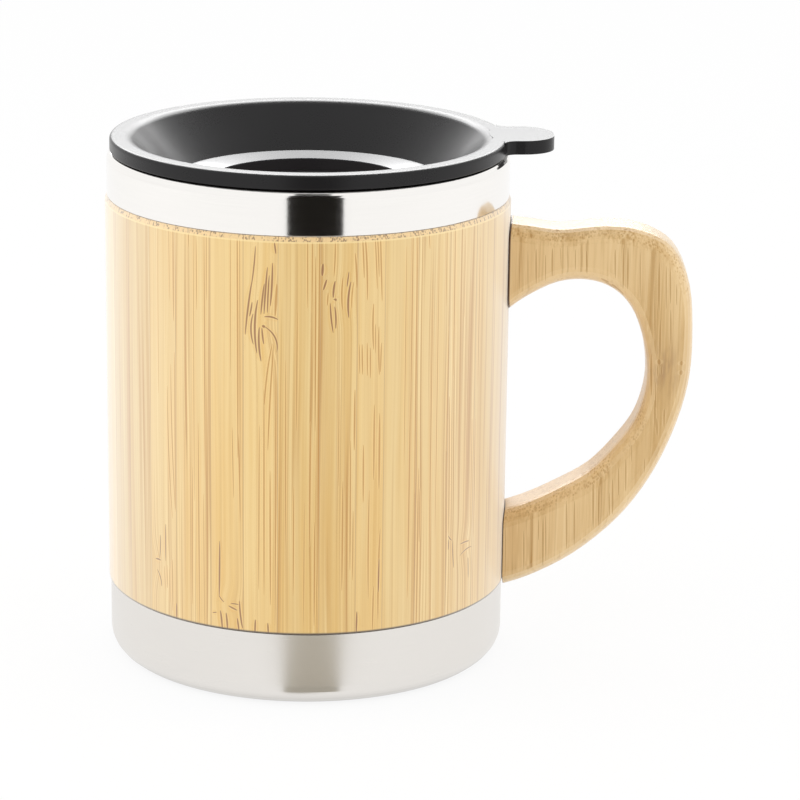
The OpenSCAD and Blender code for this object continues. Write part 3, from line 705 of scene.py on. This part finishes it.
# The strongest lines and the knots of the handle's face, in millimetres out from the axis and up
HANDLE_LINES = [
    ((41.7, 83.7), (41.9, 75.4), 0.00, 0.09),
    ((43.4, 83.7), (43.6, 75.8), 0.00, 0.09),
    ((45.0, 84.0), (45.2, 76.9), 0.00, 0.16),
    ((46.9, 82.9), (47.0, 77.5), 0.00, 0.11),
    ((48.2, 84.2), (48.3, 78.5), 0.00, 0.17),
    ((49.8, 84.3), (50.0, 80.4), 0.00, 0.08),
    ((52.7, 84.1), (52.8, 79.9), 0.00, 0.10),
    ((54.0, 84.1), (54.1, 80.2), 0.00, 0.09),
    ((54.9, 83.9), (55.1, 79.3), 0.00, 0.15),
    ((60.5, 84.2), (60.7, 78.3), 0.00, 0.15),
    ((62.1, 84.6), (62.3, 76.1), 0.00, 0.15),
    ((63.0, 84.6), (63.2, 76.1), 0.00, 0.16),
    ((65.4, 83.8), (65.7, 74.4), 0.00, 0.11),
    ((69.2, 81.8), (69.5, 71.6), 0.00, 0.16),
    ((70.6, 81.0), (70.9, 72.2), 0.00, 0.12),
    ((71.4, 80.8), (71.7, 73.4), 0.00, 0.14),
    ((68.6, 74.5), (68.9, 65.9), 0.00, 0.12),
    ((69.8, 70.2), (70.0, 61.9), 0.00, 0.14),
    ((71.8, 72.2), (72.1, 64.5), 0.00, 0.14),
    ((72.8, 77.4), (72.9, 73.1), 0.00, 0.10),
    ((68.3, 63.0), (68.6, 54.4), 0.00, 0.16),
    ((69.8, 62.0), (69.9, 60.9), 0.00, 0.30),
    ((69.6, 60.7), (69.7, 58.4), 0.00, 0.10),
    ((70.3, 60.7), (70.4, 58.7), 0.00, 0.10),
    ((74.3, 61.7), (74.3, 60.8), 0.00, 0.30),
    ((74.3, 59.8), (74.3, 58.8), 0.00, 0.30),
    ((69.3, 57.3), (69.5, 52.0), 0.00, 0.10),
    ((40.2, 26.7), (40.5, 16.3), 0.00, 0.09),
    ((43.9, 25.9), (44.1, 17.6), 0.00, 0.13),
    ((46.8, 28.3), (46.9, 23.9), 0.00, 0.11),
    ((47.7, 28.6), (47.9, 18.5), 0.00, 0.17),
    ((48.2, 29.2), (48.5, 19.4), 0.00, 0.12),
    ((52.3, 32.3), (52.6, 22.2), 0.00, 0.16),
    ((53.9, 32.3), (54.1, 22.8), 0.00, 0.15),
    ((57.5, 38.2), (57.8, 26.5), 0.00, 0.17),
    ((58.7, 35.9), (58.9, 27.1), 0.00, 0.14),
    ((60.8, 34.2), (61.0, 29.2), 0.00, 0.13),
    ((61.4, 37.1), (61.6, 29.5), 0.00, 0.15),
    ((62.5, 39.5), (62.7, 33.6), 0.00, 0.13),
    ((63.9, 41.3), (64.1, 34.5), 0.00, 0.14),
    ((65.0, 44.0), (65.1, 40.7), 0.00, 0.10),
    ((69.3, 53.6), (69.5, 47.8), 0.00, 0.14),
    ((71.2, 51.9), (71.3, 47.9), 0.00, 0.15),
    ((69.8, 49.9), (70.0, 46.1), 0.00, 0.14),
    ((67.6, 41.4), (67.7, 38.4), 0.00, 0.10),
    ((57.9, 78.1), (59.5, 77.3), 0.00, 0.22),
    ((58.9, 77.2), (61.1, 75.9), 0.00, 0.22),
    ((60.1, 77.0), (62.5, 74.8), 0.00, 0.20),
]

# The brownish smudge: its middle and its reach, out from the axis and up
SMUDGE_PLACE = (70.6, 59.8)
SMUDGE_REACH = (3.6, 5.0)

# Painted shade in the seam where the roots meet the sleeve: its radius, and its width at the lower and
# upper root
ROOT_RADIUS = 40.0
ROOT_SHADE_WIDTH = (0.22, 0.42)


class HandleGrain:
    """The patterns of the handle's bamboo, whose grain stands upright."""

    def __init__(self, graph):
        self.g = graph
        self.x, self.y, self.z = graph.split(graph.place_mm())
        normal = graph.node("ShaderNodeTexCoord").outputs["Normal"]
        self.facing_x, _, self.facing_z = graph.split(normal)
        self.up_edge = graph.ramp(self.facing_z, 0.06, 0.30)
        self.flat_top = graph.ramp(self.facing_z, 0.80, 0.97)
        self.along_x = graph.add(self.x, self.wander(1.0, 0.0))
        self.along_y = graph.add(self.y, self.wander(2.4, 31.0))

    def wander(self, reach, extra):
        """How far a fibre wanders sideways on its way up."""
        g = self.g
        place = g.in_cells(self.x, self.y, self.z, *WANDER_CELL)
        place = g.vector("ADD", place, (extra, 0.0, 0.0))
        return g.times(g.less(g.noise(place), 0.5), reach)

    def pattern(self, pitch, length, detail=0.0, rough=0.5):
        """A noise whose cells are pitch wide and length high."""
        g = self.g
        return g.noise(g.in_cells(self.along_x, self.along_y, self.z, pitch, pitch, length), detail, rough)

    def pale_edge(self):
        """The rounded edges that face down, outwards and inwards."""
        g = self.g
        low = g.ramp(self.facing_z, -0.06, -0.35)
        outer = g.ramp(self.facing_x, 0.25, 0.60)
        inner = g.ramp(self.facing_x, -0.10, -0.40)
        return g.most(low, outer, inner)

    def dots(self):
        """Dots of the fibre bundles on the cut edges."""
        g = self.g
        dot, chance = g.cells(g.in_cells(self.x, self.y, self.z, HANDLE_DOT, HANDLE_DOT, DOT_LENGTH))
        crowd_noise = g.noise(g.in_cells(self.x, self.y, self.z, *CROWD_CELL), 1.0)
        crowd = g.ramp(crowd_noise, 0.36, 0.58, 0.25, 1.0)
        found = g.times(g.ramp(dot, 0.60, 0.30), g.ramp(chance, 0.1, 0.4), crowd, self.up_edge)
        return g.times(found, g.less(1.0, g.times(self.flat_top, 0.6)))

    def fine_lines(self):
        """Dark lines where a drawn-out noise peaks, and pale ones where it dips."""
        g = self.g
        narrow = self.pattern(0.45, 70.0)
        wider = self.pattern(1.00, 90.0)
        bands = g.ramp(self.pattern(2.6, 60.0, 1.0), 0.42, 0.62, 0.25, 0.85)
        dark = g.add(g.times(g.ramp(narrow, 0.56, 0.74), 0.55), g.times(g.ramp(wider, 0.60, 0.74), 0.50))
        pale = g.most(g.ramp(narrow, 0.42, 0.28), g.ramp(wider, 0.42, 0.26))
        return g.times(bands, dark), g.times(bands, pale)

    def drawn_lines(self):
        """The strongest lines of the faces, each with a pale rim beside it that is a painted highlight."""
        g = self.g
        off = strokes(g, g.combine(self.x, self.z), HANDLE_LINES)
        faces = g.less(1.0, self.up_edge)
        line = g.times(g.ramp(off, 1.55, 0.30), faces)
        return line, g.times(g.ramp(off, 3.4, 2.0), g.less(1.0, line), faces)

    def smudge(self):
        """The brownish smudge round the knots."""
        g = self.g
        patches = g.ramp(self.pattern(0.9, 4.0, 2.0, 0.6), 0.35, 0.65, 0.25, 1.0)
        return g.times(g.bell(self.x, self.z, SMUDGE_PLACE, SMUDGE_REACH), patches)

    def warmth(self, fine):
        """Warmer on the outer side, and on the cut edges that face up."""
        g = self.g
        slow = g.less(self.pattern(4.5, 28.0, 1.0), 0.5)
        outer = g.times(g.ramp(self.x, 58.0, 68.0), g.ramp(self.z, 86.0, 62.0), 0.55)
        cut = g.times(g.less(self.up_edge, self.flat_top), 0.25)
        return g.unit(g.add(0.10, outer, g.times(fine, 0.8), g.times(slow, 1.3), cut))

    def painted_root_shade(self):
        """Painted shade in the seam at the roots."""
        g = self.g
        reach = g.vector("LENGTH", g.combine(self.x, self.y))
        width = g.ramp(self.z, 50.0, 70.0, *ROOT_SHADE_WIDTH)
        return g.ramp(g.less(reach, g.add(ROOT_RADIUS, width)), 0.12, -0.10)


def handle_material():
    """Bamboo with its grain upright: lines on the faces, and dots where it is cut across."""
    material, g, shader = new_material("bamboo handle")
    grain = HandleGrain(g)
    fine = g.less(grain.pattern(0.25, 10.0, 2.0, 0.7), 0.5)
    dark, pale = grain.fine_lines()
    line, line_highlight = grain.drawn_lines()
    colour = g.layers(g.mix(grain.warmth(fine), HANDLE_TAN, HANDLE_WARM), [
        (pale, 0.50, HANDLE_PALE),
        (g.least(dark, 0.85), 1.0, HANDLE_FIBRE),
        (grain.pale_edge(), 0.50, HANDLE_PALE),
        (grain.smudge(), 0.55, SMUDGE_BROWN),
        # Painted highlight: the pale rim beside the strongest lines
        (line_highlight, 0.30, HANDLE_PALE),
        (line, 0.55, HANDLE_FIBRE),
        (grain.dots(), 0.496, HANDLE_FIBRE),
        (grain.painted_root_shade(), 1.0, ROOT_SHADE_BROWN),
    ])
    g.put(shader.inputs["Base Color"], colour)
    g.put(shader.inputs["Roughness"], g.add(0.50, g.times(fine, 0.2), g.times(dark, 0.1)))
    set_constants(shader, HANDLE_LACQUER)
    bump(g, shader, g.less(g.times(fine, 0.3), g.times(dark, 0.1)), HANDLE_RELIEF)
    return material


# Steel

POLISHED = (0.930, 0.910, 0.880)
SATIN = (0.805, 0.778, 0.742)
ZINC_DARK = (0.52, 0.52, 0.50)
ZINC_PALE = (0.66, 0.66, 0.64)

# Fine lines round the axis, turned on the collar and brushed on the base: their pitch and their length
TURNED = (0.22, 14.0)
BRUSHED = (0.14, 9.0)

# Painted shade: the satin steel darkens towards the foot in two steps, for the shadow where it meets the
# floor: from and to a height, and the shares there
FOOT_SHADE_STEPS = [(0.30, 3.0, 0.76, 1.0), (0.20, 0.85, 0.28, 1.0)]


def rings(g, pitch, length):
    """Fine turned lines round the mug's axis, about zero."""
    x, y, z = g.split(g.place_mm())
    turn = g.math("ARCTAN2", y, x)
    radius = g.vector("LENGTH", g.combine(x, y))
    place = g.combine(g.times(turn, SLEEVE_R / length), g.times(z, 1 / pitch), g.times(radius, 1 / pitch))
    return g.less(g.noise(place, 2.0, 0.6), 0.5)


def polished_steel():
    """Mirror steel of the collar, with faint turned lines."""
    material, g, shader = new_material("polished steel")
    marks = rings(g, *TURNED)
    g.put(shader.inputs["Base Color"], g.tint(POLISHED, g.add(1.0, g.times(marks, 0.05))))
    g.put(shader.inputs["Roughness"], g.add(0.09, g.times(marks, 0.06)))
    shader.inputs["Metallic"].default_value = 1.0
    bump(g, shader, marks, 0.0004)
    return material


def satin_steel():
    """Satin steel of the base and the liner, brushed round the axis, with painted shade that darkens it at
    the very foot.
    """
    material, g, shader = new_material("satin steel")
    marks = rings(g, *BRUSHED)
    height = g.split(g.place_mm())[2]
    # Painted shade: darker towards the foot, for the shadow where the base meets the floor
    foot = g.times(*(g.ramp(height, *step) for step in FOOT_SHADE_STEPS))
    g.put(shader.inputs["Base Color"], g.tint(SATIN, g.times(foot, g.add(1.0, g.times(marks, 0.06)))))
    g.put(shader.inputs["Roughness"], g.add(0.26, g.times(marks, 0.06)))
    set_constants(shader, {"Metallic": 1.0, "Anisotropic": 0.5})
    tangent = g.node("ShaderNodeTangent", direction_type="RADIAL", axis="Z")
    g.put(shader.inputs["Tangent"], tangent.outputs[0])
    bump(g, shader, marks, 0.002)
    return material


def screw_steel():
    """Zinc-coated steel of the screws."""
    material, g, shader = new_material("screw steel")
    blotch = g.noise(g.vector("SCALE", g.place_mm(), scale=1.2), 2.0)
    g.put(shader.inputs["Base Color"], g.mix(blotch, ZINC_DARK, ZINC_PALE))
    g.put(shader.inputs["Roughness"], g.ramp(blotch, 0.3, 0.7, 0.28, 0.42))
    shader.inputs["Metallic"].default_value = 1.0
    return material


# Plastics and silicone

LID_BLACK = (0.011, 0.0104, 0.011)
DISC_BLACK = (0.022, 0.020, 0.021)
# Painted reflection: the ring's bluish grey
PAINTED_RING_GLARE = (0.022, 0.022, 0.027)
# Painted light: a paler black in the shaded recess
PAINTED_RECESS_LIGHT = (0.032, 0.029, 0.030)
CLIP_GREY = (0.20, 0.20, 0.21)
SILICONE = (0.55, 0.55, 0.54)
FLOW_MM = 12.0
LID_GRAIN = 0.25
LID_GRAIN_DEPTH = 0.003
LID_GLOSS = 0.25

# The plain plastics: name, colour, roughness, grain and its depth in millimetres, gloss, and pieces
PLASTICS = [
    ("black plastic", DISC_BLACK, 0.32, LID_GRAIN, LID_GRAIN_DEPTH, LID_GLOSS, ["shutter_disc"]),
    ("clip plastic", CLIP_GREY, 0.5, 0.3, 0.004, 0.5, ["shutter_clip"]),
    ("silicone", SILICONE, 0.62, 0.5, 0.004, 0.4, ["lid_seal", "port_seal"]),
]


def moulded(g, place, grain_mm):
    """The fine grain of a moulded surface, and the slow unevenness in it."""
    skin = g.noise(g.vector("SCALE", place, scale=1 / grain_mm), 2.0, 0.6)
    flow = g.noise(g.vector("SCALE", place, scale=1 / FLOW_MM), 2.0)
    return skin, flow


def uneven_colour(g, colour, flow):
    """The colour, slightly paler and darker along the flow."""
    return g.tint(colour, g.add(0.88, g.times(flow, 0.24)))


def uneven_gloss(g, rough, skin, flow):
    """The roughness, slightly higher along the flow and on the grain."""
    return g.add(rough - 0.05, g.times(flow, 0.06), g.times(skin, 0.04))


def plastic(name, colour, rough, grain_mm, grain_depth, gloss):
    """A plain moulded plastic."""
    material, g, shader = new_material(name)
    skin, flow = moulded(g, g.place_mm(), grain_mm)
    g.put(shader.inputs["Base Color"], uneven_colour(g, colour, flow))
    g.put(shader.inputs["Roughness"], uneven_gloss(g, rough, skin, flow))
    shader.inputs["Specular IOR Level"].default_value = gloss
    bump(g, shader, skin, grain_depth)
    return material


# The flat ring round the recess: its radii, a height just under it, and the lean of its gloss
RING_INNER = 19.0
RING_OUTER = 26.5
RING_Z = 95.9
RING_TILT = math.radians(17.0)
RING_POLISH = 0.15
RECESS_LOW = 91.0
LID_ROUGH = 0.28


def lid_plastic():
    """Black plastic. The gloss of the ring leans inwards, so that it mirrors the light from above. The ring
    is also painted a bluish grey as painted reflection, and the recess a paler black as painted light.
    """
    material, g, shader = new_material("lid plastic")
    place = g.place_mm()
    x, y, z = g.split(place)
    skin, flow = moulded(g, place, LID_GRAIN)
    radius = g.vector("LENGTH", g.combine(x, y))
    above = g.math("GREATER_THAN", z, RING_Z)
    past_inner = g.math("GREATER_THAN", radius, RING_INNER)
    within = g.times(g.math("LESS_THAN", radius, RING_OUTER), past_inner, above)
    held = g.least(g.most(radius, RING_INNER), RING_OUTER)
    dish = g.times(g.less(held, RING_INNER), above, math.tan(RING_TILT))
    recess = g.times(g.math("LESS_THAN", radius, RING_INNER), g.math("GREATER_THAN", z, RECESS_LOW))
    # Painted reflection on the ring and painted light in the recess, both paler than the lid's black
    shade = g.mix(within, g.mix(recess, LID_BLACK, PAINTED_RECESS_LIGHT), PAINTED_RING_GLARE)
    g.put(shader.inputs["Base Color"], uneven_colour(g, shade, flow))
    rough = uneven_gloss(g, LID_ROUGH, skin, flow)
    g.put(shader.inputs["Roughness"], g.less(rough, g.times(within, RING_POLISH)))
    shader.inputs["Specular IOR Level"].default_value = LID_GLOSS
    bump(g, shader, g.add(g.times(skin, LID_GRAIN_DEPTH), dish), 1.0)
    return material


def dress_all():
    """Every CAD node's material."""
    for seed, name in enumerate(STAVES, start=1):
        dress(stave_material(name, seed), name)
    dress(handle_material(), "handle")
    dress(polished_steel(), "outer_shell")
    dress(satin_steel(), "base_cup", "inner_cup", "shell_floor")
    dress(screw_steel(), "handle_screw_upper", "handle_screw_lower")
    dress(lid_plastic(), "lid_body")
    for name, colour, rough, grain_mm, grain_depth, gloss, pieces in PLASTICS:
        dress(plastic(name, colour, rough, grain_mm, grain_depth, gloss), *pieces)


dress_all()


# Floor, light and camera

FLOOR_SIZE = 8.0
WHITE = (1.0, 1.0, 1.0)
FLOOR_PAINT = (0.93, 0.93, 0.93)
FLOOR_GLOW_SHARE = 0.88
AMBIENT = 0.96


def seen_directly(g):
    """One for camera, mirror and glass rays, and zero for the light that falls on things."""
    path = g.node("ShaderNodeLightPath").outputs
    kinds = (path["Is Camera Ray"], path["Is Glossy Ray"], path["Is Transmission Ray"])
    return g.least(g.add(*kinds), 1.0)


def white_world():
    """White where it is seen or mirrored, and soft ambient light elsewhere."""
    world = bpy.data.worlds.new("studio")
    bpy.context.scene.world = world
    world.use_nodes = True
    g = Graph(world.node_tree)
    background = world.node_tree.nodes["Background"]
    g.put(background.inputs["Color"], WHITE)
    g.put(background.inputs["Strength"], g.add(AMBIENT, g.times(seen_directly(g), 1.0 - AMBIENT)))


def into_scene(name, data):
    """An object of the scene with this data."""
    made = bpy.data.objects.new(name, data)
    bpy.context.scene.collection.objects.link(made)
    return made


def sheet(name, corner_points):
    """One flat face between four points, which isn't part of the mug."""
    mesh = bpy.data.meshes.new(name)
    mesh.from_pydata(corner_points, [], [(0, 1, 2, 3)])
    made = into_scene(name, mesh)
    return made


def rectangle(name, size_x, size_y):
    """A flat rectangle in its own XY plane."""
    x, y = size_x / 2, size_y / 2
    return sheet(name, [(-x, -y, 0), (x, -y, 0), (x, y, 0), (-x, y, 0)])


def white_floor():
    """A pale floor that keeps the mug's shadow and is otherwise as white as the world."""
    floor = rectangle("floor", FLOOR_SIZE, FLOOR_SIZE)
    material, g, shader = new_material("floor")
    g.put(shader.inputs["Base Color"], FLOOR_PAINT)
    shader.inputs["Roughness"].default_value = 1.0
    shader.inputs["Specular IOR Level"].default_value = 0.0
    glow = g.node("ShaderNodeEmission", {"Color": WHITE, "Strength": 1.0}).outputs[0]
    share = g.times(seen_directly(g), FLOOR_GLOW_SHARE)
    blend = g.node("ShaderNodeMixShader", {0: share, 1: shader.outputs[0], 2: glow}).outputs[0]
    out = material.node_tree.nodes["Material Output"]
    g.put(out.inputs["Surface"], blend)
    floor.data.materials.append(material)


def aimed(place, target):
    """The turn that points an object's -Z from place to target."""
    return (Vector(target) - Vector(place)).to_track_quat("-Z", "Y")


MUG_MIDDLE = (0.0, 0.0, 0.055)
LID_TOP = (0.0, 0.0, 0.105)

# Boxes behind, which only gloss mirrors, for the flat tops: name, place, size and radiance
GLOSS_BOXES = [
    ("low back box", (-0.05, 0.90, 0.42), (0.68, 0.34), 2.7),
    ("high back box", (0.0, 0.62, 0.60), (0.80, 0.46), 7.8),
]

# Weak boxes round the mug, which gloss doesn't mirror, in the same form
SOFT_BOXES = [
    ("left box", (-0.75, -0.02, 0.20), (0.50, 0.80), 1.75),
    ("right box", (0.74, 0.05, 0.20), (0.50, 0.80), 1.25),
    ("front left box", (-0.68, -0.80, 0.45), (0.8, 0.8), 0.4),
    ("front right box", (0.75, -0.78, 0.45), (0.8, 0.8), 0.3),
]


def softbox(name, place, target, size, radiance):
    """A rectangular lamp that the camera doesn't see."""
    lamp = bpy.data.lights.new(name, "AREA")
    lamp.shape = "RECTANGLE"
    lamp.size, lamp.size_y = size
    lamp.energy = radiance * math.pi * size[0] * size[1]
    made = into_scene(name, lamp)
    made.location = place
    made.rotation_mode = "QUATERNION"
    made.rotation_quaternion = aimed(place, target)
    made.visible_camera = False
    return made


def lights():
    """An even soft light from all round, and brighter boxes for the gloss alone."""
    for name, place, size, radiance in GLOSS_BOXES:
        softbox(name, place, LID_TOP, size, radiance).visible_diffuse = False
    for name, place, size, radiance in SOFT_BOXES:
        softbox(name, place, MUG_MIDDLE, size, radiance).visible_glossy = False


# The dark card stands in front of the mug, and the grey strip lies there on the floor. Each end of the
# strip is its x, its y and half its width
CARD_MIDDLE = (0.0340, -0.300, 0.320)
CARD_SIZE = (0.158, 0.640)
CARD_TURN = math.radians(2.5)
CARD_BLACK = (0.010, 0.009, 0.008)
STRIP_NEAR = (0.0030, -0.0405, 0.0059)
STRIP_FAR = (0.0340, -0.298, 0.0800)
STRIP_HEIGHT = 0.0006
STRIP_GREY = (0.47, 0.445, 0.39)


def only_mirrored(made, name, colour):
    """A dull surface that nothing but reflections sees."""
    for kind in ("camera", "diffuse", "shadow", "transmission", "volume_scatter"):
        setattr(made, "visible_" + kind, False)
    material, g, shader = new_material(name)
    g.put(shader.inputs["Base Color"], colour)
    shader.inputs["Roughness"].default_value = 0.9
    shader.inputs["Specular IOR Level"].default_value = 0.0
    made.data.materials.append(material)


def dark_gap():
    """The dark gap in front that the collar mirrors, and the grey strip below it that the base mirrors."""
    card = rectangle("dark card", *CARD_SIZE)
    card.location = CARD_MIDDLE
    card.rotation_euler = (math.pi / 2, 0.0, CARD_TURN)
    only_mirrored(card, "dark card", CARD_BLACK)
    (x0, y0, half0), (x1, y1, half1) = STRIP_NEAR, STRIP_FAR
    places = [(x0 - half0, y0), (x1 - half1, y1), (x1 + half1, y1), (x0 + half0, y0)]
    strip = sheet("grey strip", [(x, y, STRIP_HEIGHT) for x, y in places])
    only_mirrored(strip, "grey strip", STRIP_GREY)


CAMERA_PLACE = (0.02779, -0.63651, 0.23374)
CAMERA_AIM = (-0.01387, 0.96109, -0.27588)
CAMERA_ROLL = 0.0127
LENS_MM = 148.5
SENSOR_MM = 36.0
NEAREST = 0.01


def photo_camera():
    """The photograph's view: a long lens from a little above, rolled by less than a degree."""
    data = bpy.data.cameras.new("photo camera")
    data.lens = LENS_MM
    data.sensor_width = SENSOR_MM
    data.clip_start = NEAREST
    camera = into_scene("photo camera", data)
    camera.location = CAMERA_PLACE
    camera.rotation_mode = "QUATERNION"
    level = Vector(CAMERA_AIM).to_track_quat("-Z", "Y")
    camera.rotation_quaternion = level @ Quaternion((0.0, 0.0, 1.0), CAMERA_ROLL)
    bpy.context.scene.camera = camera


white_world()
white_floor()
lights()
dark_gap()
photo_camera()
bpy.context.scene.view_settings.view_transform = "Standard"
